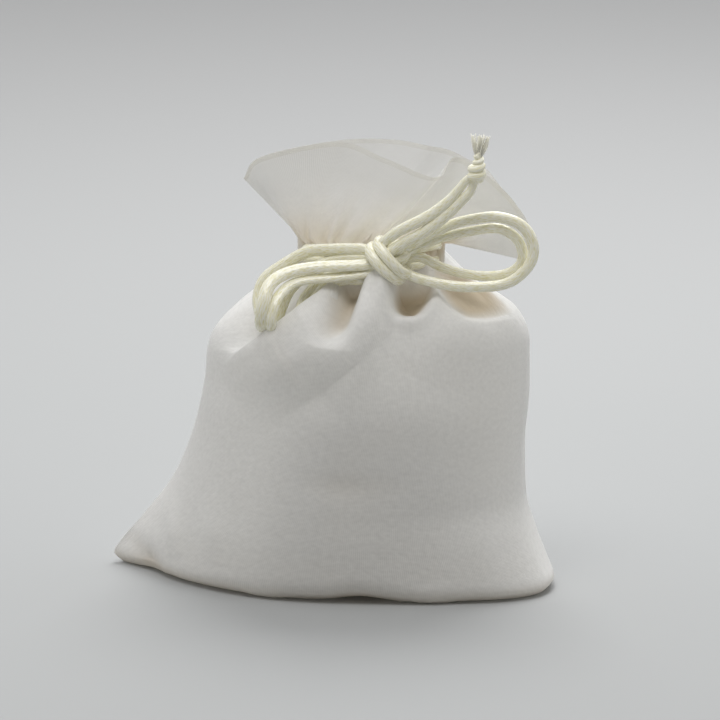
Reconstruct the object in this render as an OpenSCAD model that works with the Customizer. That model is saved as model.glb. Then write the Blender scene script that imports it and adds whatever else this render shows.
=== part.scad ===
// Drawstring gift pouch of sheer cloth, filled, standing on its base and tied with a bow.
// Millimetres. The origin is on the ground under the middle of the pouch. +X is to the right, the front
// faces -Y, and +Z is up.

/* [Pouch] */
// Distance between the two bottom corners, which stick out as ears
pouch_w = 102.6; // [92:0.2:112]
// Depth of the filled body, front to back
pouch_d = 57; // [50:0.5:62]
// Height of the middle of the tied neck
neck_z = 76; // [70:0.5:82]
// Width of the gathered neck
neck_w = 34; // [30:0.5:38]
// Depth of the gathered neck
neck_d = 14; // [12:0.5:16]
// Sideways place of the middle of the neck
neck_x = 8.5; // [4:0.5:12]
// Height of the stitched channel that the drawcords run in
channel_h = 5; // [5:0.5:7]
// Thickness of the cloth solids
cloth_t = 0.6; // [0.4:0.1:0.8]
// Width of the seam allowances
seam_w = 4; // [3:0.5:5]
// Width of the rolled hem along the mouth
hem_w = 1.2; // [0.8:0.1:1.6]

/* [Drawcord] */
// Diameter of the satin cord
cord_d = 2; // [1.4:0.1:2]
// Diameter of the knot that joins the two ends of one drawcord
end_knot_d = 4.4; // [3.6:0.1:4.8]
// Length of the frayed ends past an end knot
fringe_l = 4.6; // [3:0.2:5]
// Width of the frayed ends at their tips
fringe_w = 4.2; // [3:0.2:5]

/* [Stitching] */
// Length of one stitch
stitch_l = 1.8; // [1.2:0.1:2]
// Distance from one stitch to the next
stitch_pitch = 3; // [2.6:0.1:4]
// Thickness of the sewing thread
thread_t = 0.2; // [0.15:0.05:0.25]

/* [Hidden] */

cloth = "ivory";
satin = "lightgoldenrodyellow";
thread = "white";

across = 24;                              // steps from one side seam to the other
gap = 0.1;                                // room between pieces that lie against each other
cord_r = cord_d / 2;
knot_at = [neck_x + 7, -neck_d / 2 - 6.2, neck_z + 1];

// Rows of the body, from the ground to the neck. Each row holds its height as a part of neck_z, its reach
// to the left and right as parts of pouch_w / 2, its reach forward as a part of pouch_d / 2, and how
// pointed its left and right ends are: 0.5 is an ellipse and 1 or more is a thin ear.
BODY = [
    [0.000, 0.96, 0.97, 0.84, 1.20, 0.50],
    [0.026, 1.00, 1.00, 0.96, 1.15, 0.45],
    [0.080, 0.95, 0.965, 1.0, 1.05, 0.45],
    [0.155, 0.86, 0.91, 1.00, 0.90, 0.45],
    [0.270, 0.735, 0.855, 0.985, 0.72, 0.48],
    [0.420, 0.64, 0.85, 0.965, 0.60, 0.50],
    [0.580, 0.58, 0.87, 0.95, 0.52, 0.50],
    [0.730, 0.545, 0.873, 0.90, 0.50, 0.50],
    [0.820, 0.43, 0.83, 0.75, 0.50, 0.50],
    [0.890, 0.30, 0.72, 0.55, 0.50, 0.50],
    [0.935, 0.22, 0.60, 0.40, 0.50, 0.50]
];

// The mouth's edge from the left seam to the right seam, as offsets from the middle of the neck.
FRONT_EDGE = [
    [-29.5, 0, 15], [-25, -1.5, 20.5], [-7.5, -3, 25], [4.5, -5, 22.5], [16, -8, 19.5],
    [21.5, -4, 22.5], [27.5, -1, 18.5], [34.5, 1, 9.5], [36, 2, -1.5]
];
BACK_EDGE = [
    [-29.5, 0, 15], [-26, 3, 19.5], [-9.5, 8, 23], [4.5, 8, 23.5], [14.5, 8, 22.5],
    [21, 6, 20.5], [27, 4, 17.5], [35, 3.5, 8], [36, 2, -1.5]
];

// The filling's rows: height, left, right and forward reach, as in BODY.
FILLING = [
    [0.025, 0.52, 0.66, 0.72], [0.09, 0.58, 0.72, 0.88], [0.27, 0.58, 0.70, 0.90],
    [0.42, 0.50, 0.71, 0.90], [0.58, 0.44, 0.73, 0.89], [0.73, 0.40, 0.73, 0.84],
    [0.82, 0.29, 0.68, 0.68], [0.89, 0.16, 0.56, 0.48], [0.925, 0.10, 0.47, 0.36]
];

// Routes of the free cords, as offsets from the bow knot.
RIGHT_LOOP_OUTER = [
    [5.8, 0, 4.4], [13.5, 0.5, 8.6], [19.2, 1.2, 10.3], [24.5, 1.7, 10.9], [29.2, 2, 9.6],
    [31.8, 2.3, 6.8], [32.6, 2.4, 3], [31.3, 2.2, -0.5], [27.6, 1.8, -3.8], [22.4, 1.4, -5],
    [14.6, 0.7, -5], [6.2, 0, -3.4]
];
RIGHT_LOOP_INNER = [
    [6.9, 1.6, 3.3], [11.7, 1.8, 5.4], [18, 2.2, 7.1], [24.3, 2.7, 8], [28.4, 3.2, 5.9],
    [29.9, 3.6, 2.4], [29.2, 3.9, -0.5], [26.4, 3.9, -2.6], [22.1, 3.4, -3.3], [16.8, 2.7, -2.9],
    [11.6, 2.2, -1.5], [7, 1.6, 0.6]
];
LEFT_LOOP_OUTER = [
    [-6.6, 0.6, 2], [-13, 0.6, 1.7], [-18.6, 0.6, 1], [-23.5, -0.5, -1.6], [-28, -2.6, -5],
    [-29.2, -4.4, -9], [-28.3, -6, -12.8], [-27.3, -8.8, -15], [-27, -11.6, -12.5],
    [-26.4, -12, -8.6], [-25.6, -9.4, -4.8], [-22.5, -6.2, -2.7], [-16.6, -4, -1.5],
    [-6.6, -2.2, -0.9]
];
LEFT_LOOP_INNER = [
    [-6.6, 0.4, -0.2], [-12, 0.6, -0.6], [-17.5, 0, -2.8], [-22.4, -2.4, -7.4],
    [-24.2, -5.6, -12.2], [-25.2, -8.8, -15.2], [-24.9, -11.6, -12.9], [-24.5, -11.4, -9.8],
    [-23.2, -8.9, -6.9], [-19.8, -5.6, -4.6], [-11, -2.8, -3.7], [-6.6, -2, -3.1]
];
RIGHT_TAIL_UPPER = [[2.8, -3, 7.6], [9.6, -3, 11.4], [14, -3, 14.9], [16.6, -3, 18], [18.2, -3, 20]];
RIGHT_TAIL_LOWER = [[4.6, -3, 5.4], [8.8, -3, 7.8], [13.6, -3, 11.8], [16.9, -3, 15.1], [19.4, -3, 18]];
LEFT_TAIL_UPPER = [
    [-6, 0.8, -3.6], [-10, 1, -4.4], [-15.1, 0.2, -5.1], [-17.2, -1.2, -7], [-19.4, -3.4, -9.8]
];
LEFT_TAIL_LOWER = [
    [-6, -0.2, -5.8], [-10, -0.4, -6.6], [-14.4, -1.2, -7.4], [-16.8, -3.4, -9.4], [-19, -5.8, -12]
];
RIGHT_KNOT = [20.7, -3.2, 22.2];
LEFT_KNOT = [-20.4, -8.5, -14.4];

function mix(a, b, k) = a + (b - a) * k;
function ease(k) = k * k * (3 - 2 * k);
function unit(v) = v / norm(v);

// How far the right ear is turned forward at a point of the body.
function turn(x, z) = -5 * pow(max(0, 2 * x / pouch_w), 2) * max(0, 1 - z / 20);

// A point of a body row. Side is -1 on the front panel and 1 on the back one, t runs from the left seam
// to the right one, and inset moves the point into the pouch.
function body_point(row, side, t, inset) =
    let (left = -row[1] * pouch_w / 2 + inset,
         right = row[2] * pouch_w / 2 - inset,
         x = mix(left, right, (1 - cos(180 * t)) / 2),
         reach = row[3] * pouch_d / 2 - inset,
         z = max(row[0] * neck_z, inset))
    [x, turn(x, z) + side * reach * pow(sin(180 * t), 2 * mix(row[4], row[5], ease(t))), z];

// A point of the straight channel round the neck, at a height dz from its middle.
function neck_point(side, t, inset, dz) =
    [neck_x - (neck_w / 2 - inset) * cos(180 * t), side * (neck_d / 2 - inset) * sin(180 * t), neck_z + dz];

// A point of the bottom seam, where the two panels meet on the ground.
function seam_point(t, inset) =
    let (p = body_point(BODY[0], -1, t, inset))
    [0.97 * p[0], turn(p[0], 0), inset];

// A point of the mouth's edge, found along a list of corner points. The two panels meet where inset is
// cloth_t.
function edge_point(edge, side, t, inset) =
    let (f = t * (len(edge) - 1), i = min(floor(f), len(edge) - 2))
    [neck_x, side * (cloth_t - inset), neck_z] + mix(edge[i], edge[i + 1], f - i);

// The grid of points of one panel, from the bottom seam to the mouth.
function panel_grid(side, edge, inset) = [
    [for (j = [0:across]) seam_point(j / across, inset)],
    for (row = BODY) [for (j = [0:across]) body_point(row, side, j / across, inset)],
    for (dz = [-channel_h / 2, channel_h / 2]) [for (j = [0:across]) neck_point(side, j / across, inset, dz)],
    for (k = [0.35, 0.7, 1]) [for (j = [0:across])
        mix(neck_point(side, j / across, inset, channel_h / 2), edge_point(edge, side, j / across, inset), k)]
];

// Triangles over a grid of points with the given number of rows and columns.
function grid_faces(rows, cols, first, flip) = [
    for (i = [0:rows - 2], j = [0:cols - 2])
        let (a = first + i * cols + j, b = a + 1, c = b + cols, d = a + cols)
        each flip ? [[a, b, c], [a, c, d]] : [[a, c, b], [a, d, c]]
];

// Triangles that close the edge between two matching lists of point numbers.
function edge_faces(outer, inner, flip) = [
    for (k = [0:len(outer) - 2])
        let (a = outer[k], b = outer[k + 1], c = inner[k + 1], d = inner[k])
        each flip ? [[a, b, c], [a, c, d]] : [[a, c, b], [a, d, c]]
];

// A closed sheet between an outer and an inner grid. Flip is set where the grid's outside is on its left.
module sheet(outer, inner, flip) {
    rows = len(outer);
    cols = len(outer[0]);
    half = rows * cols;
    bottom = [for (j = [0:cols - 1]) j];
    top = [for (j = [0:cols - 1]) (rows - 1) * cols + j];
    left = [for (i = [0:rows - 1]) i * cols];
    right = [for (i = [0:rows - 1]) i * cols + cols - 1];
    shift = function (list) [for (k = list) k + half];
    polyhedron(
        points = [for (row = outer) each row, for (row = inner) each row],
        faces = concat(
            grid_faces(rows, cols, 0, flip),
            grid_faces(rows, cols, half, !flip),
            edge_faces(bottom, shift(bottom), !flip),
            edge_faces(top, shift(top), flip),
            edge_faces(left, shift(left), flip),
            edge_faces(right, shift(right), !flip)
        )
    );
}

// A closed solid through a list of rings that all have the same number of points.
module loft(rings) {
    count = len(rings);
    n = len(rings[0]);
    polyhedron(
        points = [for (ring = rings) each ring],
        faces = concat(
            [for (i = [0:count - 2], j = [0:n - 1])
                let (a = i * n + j, b = i * n + (j + 1) % n)
                each [[a, b + n, b], [a, a + n, b + n]]],
            [for (j = [1:n - 2]) [0, j, j + 1]],
            [for (j = [1:n - 2]) let (e = (count - 1) * n) [e, e + j + 1, e + j]]
        )
    );
}

// A cord: a tube swept along a path. Side is a direction that the path never runs along.
module tube(path, side, radius = cord_r, sides = 8) {
    last = len(path) - 1;
    loft([for (i = [0:last])
        let (along = unit(path[min(i + 1, last)] - path[max(i - 1, 0)]),
             u = unit(cross(along, side)),
             v = cross(along, u))
        [for (k = [0:sides - 1]) path[i] + radius * (u * cos(360 * k / sides) + v * sin(360 * k / sides))]]);
}

// A cord whose route is given from the bow knot.
module free_cord(route) {
    color(satin)
        tube([for (p = route) knot_at + p], [0, 1, 0.2]);
}

// A panel, which is flat where it rests on the ground.
module panel(side, edge) {
    color(cloth)
        sheet(panel_grid(side, edge, 0), panel_grid(side, edge, cloth_t), side > 0);
}

module front_panel() {
    panel(-1, FRONT_EDGE);
}

module back_panel() {
    panel(1, BACK_EDGE);
}

// The wadding that keeps the pouch plump and standing.
module filling() {
    color("white")
        loft([for (row = FILLING) [for (a = [0:15:345])
            let (left = -row[1] * pouch_w / 2, right = row[2] * pouch_w / 2)
            [mix(left, right, (1 + cos(a)) / 2), row[3] * pouch_d / 2 * sin(a), row[0] * neck_z]]]);
}

// The side seam below the neck, from the ear upwards, moved into the pouch.
function body_seam(t, depth) = [for (i = [2:len(BODY) - 1]) body_point(BODY[i], -1, t, depth)];

// The side seam above the neck, from the channel to the mouth, moved into the pouch.
function mouth_seam(t, depth) =
    let (inward = t < 0.5 ? unit([1, 0, 1]) : [0, 0, 1])
    [for (k = [0.1, 0.5, 1])
        mix(neck_point(-1, t, 0, channel_h / 2), edge_point(FRONT_EDGE, -1, t, cloth_t), k) + depth * inward];

// A flat strip between two lines of points, the left one first.
module strip(left, right) {
    half = [0, thread_t, 0];
    loft([for (i = [0:len(left) - 1]) [left[i] - half, right[i] - half, right[i] + half, left[i] + half]]);
}

// The turned-in edges of both panels beyond a side seam, in two lengths with the channel between them.
module side_allowance(t) {
    left = 2 + (t < 0.5 ? 0 : seam_w);
    right = 2 + (t < 0.5 ? seam_w : 0);
    color(cloth) {
        strip(body_seam(t, left), body_seam(t, right));
        strip(mouth_seam(t, left), mouth_seam(t, right));
    }
}

module left_seam() {
    side_allowance(0);
}

module right_seam() {
    side_allowance(1);
}

// The bottom allowance lies flat inside, behind the bottom seam.
module bottom_seam() {
    color(cloth)
        translate([-pouch_w * 0.3, 0.5, cloth_t + gap])
            cube([pouch_w * 0.6, seam_w, 2 * thread_t]);
}

// Stitches along a straight line, from its start to its end.
module stitch_row(from, to) {
    length = norm(to - from);
    count = floor(length / stitch_pitch);
    direction = (to - from) / length;
    for (k = [0:count - 1])
        translate(from + direction * (k + 0.5) * length / count)
            rotate([0, -atan2(direction[2], direction[0]), 0])
                cube([stitch_l, thread_t, thread_t], center = true);
}

// The stitches of a side seam, on one face of its allowance: the front one on the left, the back one on
// the right.
module side_stitches(t) {
    depth = 2 + seam_w / 4;
    color(thread)
        translate([0, (t < 0.5 ? -2 : 2) * thread_t, 0])
            for (line = [body_seam(t, depth), mouth_seam(t, depth)], i = [1:len(line) - 1])
                stitch_row(line[i - 1], line[i]);
}

module left_stitches() {
    side_stitches(0);
}

module right_stitches() {
    side_stitches(1);
}

module bottom_stitches() {
    height = cloth_t + gap + 2.6 * thread_t;
    color(thread)
        stitch_row([-pouch_w * 0.29, 0.5 + seam_w / 4, height], [pouch_w * 0.29, 0.5 + seam_w / 4, height]);
}

// The rolled hem that stands on the mouth's edge of one panel.
module hem(side, edge) {
    low = [for (j = [0:across]) edge_point(edge, side, j / across, 0)];
    high = [for (p = low) p + [0, 0, hem_w]];
    inner_low = [for (j = [0:across]) edge_point(edge, side, j / across, cloth_t)];
    inner_high = [for (p = inner_low) p + [0, 0, hem_w]];
    color(cloth)
        sheet([low, high], [inner_low, inner_high], side > 0);
}

module front_hem() {
    hem(-1, FRONT_EDGE);
}

module back_hem() {
    hem(1, BACK_EDGE);
}

// The inner wall of the channel, sewn to a panel along its two edges and hollow between them.
function channel_grid(side, inset) = [
    for (step = [[-0.5, 0], [-0.4, 2.8], [0.4, 2.8], [0.5, 0]])
        let (depth = inset + cloth_t + gap + step[1])
        [for (j = [0:across]) neck_point(side, j / across, depth, step[0] * channel_h)]
];

module front_channel() {
    color(cloth)
        sheet(channel_grid(-1, 0), channel_grid(-1, cloth_t), false);
}

module back_channel() {
    color(cloth)
        sheet(channel_grid(1, 0), channel_grid(1, cloth_t), true);
}

// Two rows of stitches round the neck, above and below the drawcords, on the outside of both panels.
module channel_stitches() {
    color(thread)
        for (side = [-1, 1], dz = [-0.45, 0.45] * channel_h, j = [2:2:across - 2])
            let (p = neck_point(side, j / across, -thread_t, dz),
                 q = neck_point(side, (j + 0.6) / across, -thread_t, dz))
            translate((p + q) / 2)
                rotate([0, 0, atan2(q[1] - p[1], q[0] - p[0])])
                    cube([stitch_l, thread_t, thread_t], center = true);
}

// The fixed part of a drawcord: from the knot round to a side seam, all the way round in the channel, and
// back out beside itself to the knot. Out is the seam's side: -1 left, 1 right. Level is 1 for the upper
// place in the channel and -1 for the lower one.
function drawcord_path(out, level) =
    let (inset = cloth_t + gap + cord_r,
         high = neck_z + level * (cord_r + 1.5 * gap),
         low = neck_z - level * (cord_r + 1.5 * gap),
         end = [knot_at[0] + out * 5.4, knot_at[1] + 3.6],
         bend = [neck_x + out * (neck_w / 2 - 3), -neck_d / 2 + 0.4])
    [
        [each end, high],
        [each bend, high],
        [neck_x + out * (neck_w / 2 + 0.4), -1.6, high],
        for (a = [20:23:319])
            [neck_x + out * (neck_w / 2 - inset) * cos(a), (neck_d / 2 - inset) * sin(a), high],
        [each bend, low],
        [each end, low]
    ];

module left_drawcord() {
    color(satin)
        tube(drawcord_path(-1, -1), [0, 0, 1]);
}

module right_drawcord() {
    color(satin)
        tube(drawcord_path(1, 1), [0, 0, 1]);
}

// A round body with soft ends: a half oval turned about its own axis.
module barrel(radius, length) {
    rotate_extrude($fn = 32)
        polygon([for (a = [-90:15:90]) [radius * cos(a), length / 2 * sin(a)]]);
}

// Turns a piece of the bow knot to the slope of the cord that is wrapped round it.
module at_knot() {
    translate(knot_at)
        rotate([0, 49, 0])
            children();
}

// The crossed cords in the middle of the bow.
module bow_knot_core() {
    color(satin)
        at_knot()
            barrel(3.4, 8);
}

// The two strands wrapped once round the middle of the bow.
module bow_knot_wrap() {
    color(satin)
        at_knot()
            for (side = [-1, 1])
                translate([0, 0, side * (cord_r + gap / 2)])
                    rotate_extrude($fn = 48)
                        translate([3.4 + gap + cord_r, 0])
                            circle(r = cord_r, $fn = 24);
}

module right_loop_outer() {
    free_cord(RIGHT_LOOP_OUTER);
}

module right_loop_inner() {
    free_cord(RIGHT_LOOP_INNER);
}

module left_loop_outer() {
    free_cord(LEFT_LOOP_OUTER);
}

module left_loop_inner() {
    free_cord(LEFT_LOOP_INNER);
}

module right_tail_upper() {
    free_cord(RIGHT_TAIL_UPPER);
}

module right_tail_lower() {
    free_cord(RIGHT_TAIL_LOWER);
}

module left_tail_upper() {
    free_cord(LEFT_TAIL_UPPER);
}

module left_tail_lower() {
    free_cord(LEFT_TAIL_LOWER);
}

// Places a tail's end, which leans sideways and forward.
module at_end(offset, lean) {
    translate(knot_at + offset)
        rotate(lean)
            children();
}

right_lean = [0, 6, 0];
left_lean = [21, 212, 0];

// The overhand knot that joins the two ends of one drawcord: a large turn and a small one above it.
module end_knot() {
    color(satin) {
        barrel(end_knot_d / 2, end_knot_d * 1.15);
        translate([0, 0, end_knot_d * 0.68])
            barrel(end_knot_d * 0.27, end_knot_d * 0.6);
    }
}

// The frayed ends past the knot, which spread like a brush.
module fringe() {
    color(satin)
        translate([0, 0, end_knot_d * 0.98 + gap])
            cylinder(r1 = end_knot_d * 0.2, r2 = fringe_w / 2, h = fringe_l, $fn = 24);
}

module right_end_knot() {
    at_end(RIGHT_KNOT, right_lean) end_knot();
}

module right_fringe() {
    at_end(RIGHT_KNOT, right_lean) fringe();
}

module left_end_knot() {
    at_end(LEFT_KNOT, left_lean) end_knot();
}

module left_fringe() {
    at_end(LEFT_KNOT, left_lean) fringe();
}

front_panel();
back_panel();
filling();
left_seam();
right_seam();
bottom_seam();
left_stitches();
right_stitches();
bottom_stitches();
front_hem();
back_hem();
front_channel();
back_channel();
channel_stitches();
left_drawcord();
right_drawcord();
bow_knot_core();
bow_knot_wrap();
right_loop_outer();
right_loop_inner();
left_loop_outer();
left_loop_inner();
right_tail_upper();
right_tail_lower();
right_end_knot();
right_fringe();
left_tail_upper();
left_tail_lower();
left_end_knot();
left_fringe();
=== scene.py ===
"""Looks of the drawstring gift pouch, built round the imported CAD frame.

Lengths in the tables and functions are millimetres, as in the CAD source, and become metres where a mesh
is made. The pouch stands on the ground with +X to the right and its front facing -Y.
"""

import math

import bpy
import numpy as np
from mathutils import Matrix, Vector


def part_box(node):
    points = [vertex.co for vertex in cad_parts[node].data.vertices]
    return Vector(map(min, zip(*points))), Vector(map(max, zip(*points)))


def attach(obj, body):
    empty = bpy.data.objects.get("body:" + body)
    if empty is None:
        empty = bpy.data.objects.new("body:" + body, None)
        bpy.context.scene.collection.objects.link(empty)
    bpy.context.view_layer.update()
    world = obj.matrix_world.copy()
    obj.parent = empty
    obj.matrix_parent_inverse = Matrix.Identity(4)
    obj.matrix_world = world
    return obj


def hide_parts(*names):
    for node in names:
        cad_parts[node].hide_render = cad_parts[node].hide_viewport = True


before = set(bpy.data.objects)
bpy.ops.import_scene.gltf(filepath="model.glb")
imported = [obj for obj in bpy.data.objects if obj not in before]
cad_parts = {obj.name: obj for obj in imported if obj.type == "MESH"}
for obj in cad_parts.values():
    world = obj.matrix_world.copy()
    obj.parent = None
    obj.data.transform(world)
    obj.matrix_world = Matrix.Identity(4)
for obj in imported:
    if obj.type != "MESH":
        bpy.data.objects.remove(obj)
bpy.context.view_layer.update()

MM = 0.001


def at_mm(node):
    """A node's lowest and highest corners at rest, in millimetres."""
    return [np.array(corner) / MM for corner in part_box(node)]


# -------- driving dimensions

panel_low, panel_high = at_mm("front_panel")
channel_low, channel_high = at_mm("front_channel")
knot_low, knot_high = at_mm("bow_knot_core")

CLOTH_T = 0.6  # thickness of the CAD cloth solids
GAP = 0.1  # between the cloth and what lies against it
HALF_W = (panel_high[0] - panel_low[0]) / 2  # half the width across the ears
HALF_D = at_mm("back_panel")[1][1]  # half the depth of the body
NECK_X = (channel_low[0] + channel_high[0]) / 2
NECK_HALF_W = (channel_high[0] - channel_low[0]) / 2 + CLOTH_T + GAP
NECK_HALF_D = -channel_low[1] + CLOTH_T + GAP
NECK_Z = (channel_low[2] + channel_high[2]) / 2
CHANNEL_H = channel_high[2] - channel_low[2]
CHANNEL_LOW, CHANNEL_TOP = NECK_Z - CHANNEL_H / 2, NECK_Z + CHANNEL_H / 2
KNOT = (knot_low + knot_high) / 2
CUT_W, CUT_L = 102.0, 140.0  # the flat panel that was cut and sewn
CORD_D = 2.0
SEAM_W, SEAM_IN = 4.0, 0.35  # a seam allowance's width, and how far in it lies
HEM_ROWS, HEM_T = 4, 0.2
CHANNEL_D = 3.0  # from the outer cloth to the channel's inner wall
STITCH_L, STITCH_PITCH, THREAD_T = 1.8, 3.0, 0.2

# -------- small tools


def ease(k):
    k = np.clip(k, 0, 1)
    return k * k * (3 - 2 * k)


def monotone(xs, ys, x):
    """A smooth curve through the points (xs, ys) that never swings past them."""
    xs, ys, x = np.array(xs, float), np.array(ys, float), np.asarray(x, float)
    step, slope = np.diff(xs), np.diff(ys) / np.diff(xs)
    tangent = np.concatenate([[slope[0]], (slope[1:] + slope[:-1]) / 2, [slope[-1]]])
    turning = np.concatenate([[False], slope[1:] * slope[:-1] <= 0, [False]])
    tangent[turning] = 0
    limit = 3 * np.minimum(np.abs(np.append(slope, slope[-1])), np.abs(np.insert(slope, 0, slope[0])))
    tangent = np.clip(tangent, -limit, limit)
    i = np.clip(np.searchsorted(xs, x) - 1, 0, len(step) - 1)
    h, k = step[i], (x - xs[i]) / step[i]
    k = np.clip(k, 0, 1)
    return (
        (1 + 2 * k) * (1 - k) ** 2 * ys[i] + k * (1 - k) ** 2 * h * tangent[i]
        + k * k * (3 - 2 * k) * ys[i + 1] + k * k * (k - 1) * h * tangent[i + 1]
    )


def spline(points, k):
    """Points at the shares k, from 0 to 1, of a smooth curve through the given points."""
    p = np.array(points, float)
    p = np.vstack([2 * p[0] - p[1], p, 2 * p[-1] - p[-2]])
    f = np.clip(np.asarray(k, float), 0, 1) * (len(points) - 1)
    i = np.minimum(f.astype(int), len(points) - 2)
    u = (f - i)[..., None]
    a, b, c, d = p[i], p[i + 1], p[i + 2], p[i + 3]
    return 0.5 * (
        2 * b + (c - a) * u + (2 * a - 5 * b + 4 * c - d) * u**2 + (3 * b - a - 3 * c + d) * u**3
    )


def run_of(line):
    """How far along a line each of its points is."""
    return np.concatenate([[0], np.cumsum(np.linalg.norm(np.diff(line, axis=0), axis=1))])


def even(points, count):
    """A smooth curve through the points as count points an equal distance apart."""
    fine = spline(points, np.linspace(0, 1, 40 * len(points)))
    along = run_of(fine)
    at = np.linspace(0, along[-1], count)
    return np.stack([np.interp(at, along, fine[:, k]) for k in range(3)], axis=1)


def unit(v):
    v = np.asarray(v, float)
    return v / np.maximum(np.linalg.norm(v, axis=-1, keepdims=True), 1e-9)


def noise(points, size, seed):
    """Smooth noise from -1 to 1 over points, with features of about the given size."""
    rng = np.random.default_rng(seed)
    total = np.zeros(points.shape[:-1])
    for octave in range(3):
        for _ in range(5):
            wave = unit(rng.normal(size=3)) * 2 * math.pi / (size * 0.7**octave)
            total += 0.6**octave * np.sin(points @ wave + rng.uniform(0, 2 * math.pi))
    return total / 5


# -------- node materials


class Look:
    """Builds the nodes of a material, or of the world. Colours are linear, and constants stay on the
    shader's own sockets."""

    def __init__(self, name, kind="Material"):
        self.made = (bpy.data.worlds if kind == "World" else bpy.data.materials).new(name)
        self.made.use_nodes = True
        self.tree = self.made.node_tree
        self.tree.nodes.clear()
        self.output = self.tree.nodes.new("ShaderNodeOutput" + kind)

    def node(self, kind, inputs=(), **settings):
        made = self.tree.nodes.new(kind)
        for key, value in settings.items():
            setattr(made, key, value)
        for key, value in dict(inputs).items():
            if isinstance(value, bpy.types.NodeSocket):
                self.tree.links.new(value, made.inputs[key])
            else:
                made.inputs[key].default_value = value
        return made

    def math(self, operation, a, b=0.0, clamp=False):
        return self.node("ShaderNodeMath", {0: a, 1: b}, operation=operation, use_clamp=clamp).outputs[0]

    def cloth(self):
        """The coordinates over the cloth or cord in millimetres: both, across it and along it."""
        both = self.node("ShaderNodeUVMap", uv_map="Cloth").outputs[0]
        axes = self.node("ShaderNodeSeparateXYZ", {0: both})
        return both, axes.outputs[0], axes.outputs[1]

    def mark(self, name):
        """A value that mesh_object gave to each point."""
        return self.node("ShaderNodeAttribute", attribute_name=name).outputs["Fac"]

    def towards(self, direction, vector):
        """How far a vector reaches in a direction."""
        made = self.node("ShaderNodeVectorMath", {0: vector, 1: direction}, operation="DOT_PRODUCT")
        return made.outputs["Value"]

    def noise(self, scale, detail, vector):
        inputs = {"Scale": scale, "Detail": detail, "Vector": vector}
        return self.node("ShaderNodeTexNoise", inputs).outputs[0]

    def remap(self, value, low, high, to_low=0.0, to_high=1.0):
        made = self.node("ShaderNodeMapRange", {0: value, 1: low, 2: high, 3: to_low, 4: to_high})
        return made.outputs[0]

    def mix(self, share, a, b):
        made = self.node("ShaderNodeMix", {0: share, 6: a, 7: b}, data_type="RGBA")
        return made.outputs[2]

    def bump(self, height, distance, strength, normal=None):
        inputs = {"Height": height, "Distance": distance, "Strength": strength}
        if normal is not None:
            inputs["Normal"] = normal
        return self.node("ShaderNodeBump", inputs).outputs[0]

    def blend(self, share, a, b):
        return self.node("ShaderNodeMixShader", {0: share, 1: a.outputs[0], 2: b.outputs[0]})

    def finish(self, shader):
        self.tree.links.new(shader.outputs[0], self.output.inputs[0])
        return self.made


def shaded(colour, share=1.0):
    """A colour for a socket, made darker by a share."""
    return (*[share * c for c in colour], 1)


def threads(look, across, along, pitch_across, pitch_along):
    """A plain weave: the height of the crossing threads, 0 to 1."""
    u = look.math("MULTIPLY", across, math.pi / pitch_across)
    v = look.math("MULTIPLY", along, math.pi / pitch_along)
    warp = look.math("ABSOLUTE", look.math("SINE", u))
    weft = look.math("ABSOLUTE", look.math("SINE", v))
    return look.math("MAXIMUM", warp, weft)


WEAVE_PITCH = 0.34, 0.30  # millimetres, across and along


def voile(name, opacity, colour=(0.965, 0.96, 0.945), shade_colour=(0.66, 0.54, 0.37)):
    """Sheer woven cloth. Deep folds, marked by the attribute Depth, are painted a warmer, darker colour as
    painted shade, and are a little less sheer. Free cloth, marked by the attribute Loose, is more sheer than
    cloth with something behind it, and is painted a little darker as painted shade."""
    look = Look(name)
    uv, across, along = look.cloth()
    weave = threads(look, across, along, *WEAVE_PITCH)
    slub = look.noise(0.9, 4.0, uv)
    depth, loose = look.mark("Depth"), look.mark("Loose")
    cloth = look.mix(look.remap(slub, 0.3, 0.7), shaded(colour, 0.93), shaded(colour))
    # painted shade: deep folds are painted a warmer, darker colour, more the deeper they are
    cloth = look.mix(look.math("MULTIPLY", depth, 0.85, True), cloth, shaded(shade_colour))
    # painted shade: free cloth is painted a little darker
    cloth = look.mix(loose, cloth, shaded(colour, 0.80))
    normal = look.bump(weave, 0.00005, 0.6)
    normal = look.bump(look.noise(0.35, 2.0, uv), 0.0006, 0.25, normal)
    body = look.node("ShaderNodeBsdfPrincipled", {
        "Base Color": cloth, "Normal": normal, "Sheen Weight": 0.25, "Sheen Roughness": 0.4,
        "Roughness": look.remap(slub, 0.3, 0.7, 0.5, 0.62), "Specular IOR Level": 0.3,
    })
    through = look.node("ShaderNodeBsdfTranslucent", {"Color": cloth, "Normal": normal})
    share = look.math("ADD", look.math("MULTIPLY", loose, -0.17), 0.30)
    both = look.blend(share, body, through)
    clear = look.node("ShaderNodeBsdfTransparent", {"Color": (0.985, 0.98, 0.965, 1)})
    solid = look.math("ADD", look.math("MULTIPLY", weave, 0.16), opacity - 0.10)
    solid = look.math("SUBTRACT", solid, look.math("MULTIPLY", loose, 0.40))
    solid = look.math("ADD", solid, look.math("MULTIPLY", depth, 0.25), True)
    return look.finish(look.blend(solid, clear, both))


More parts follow.
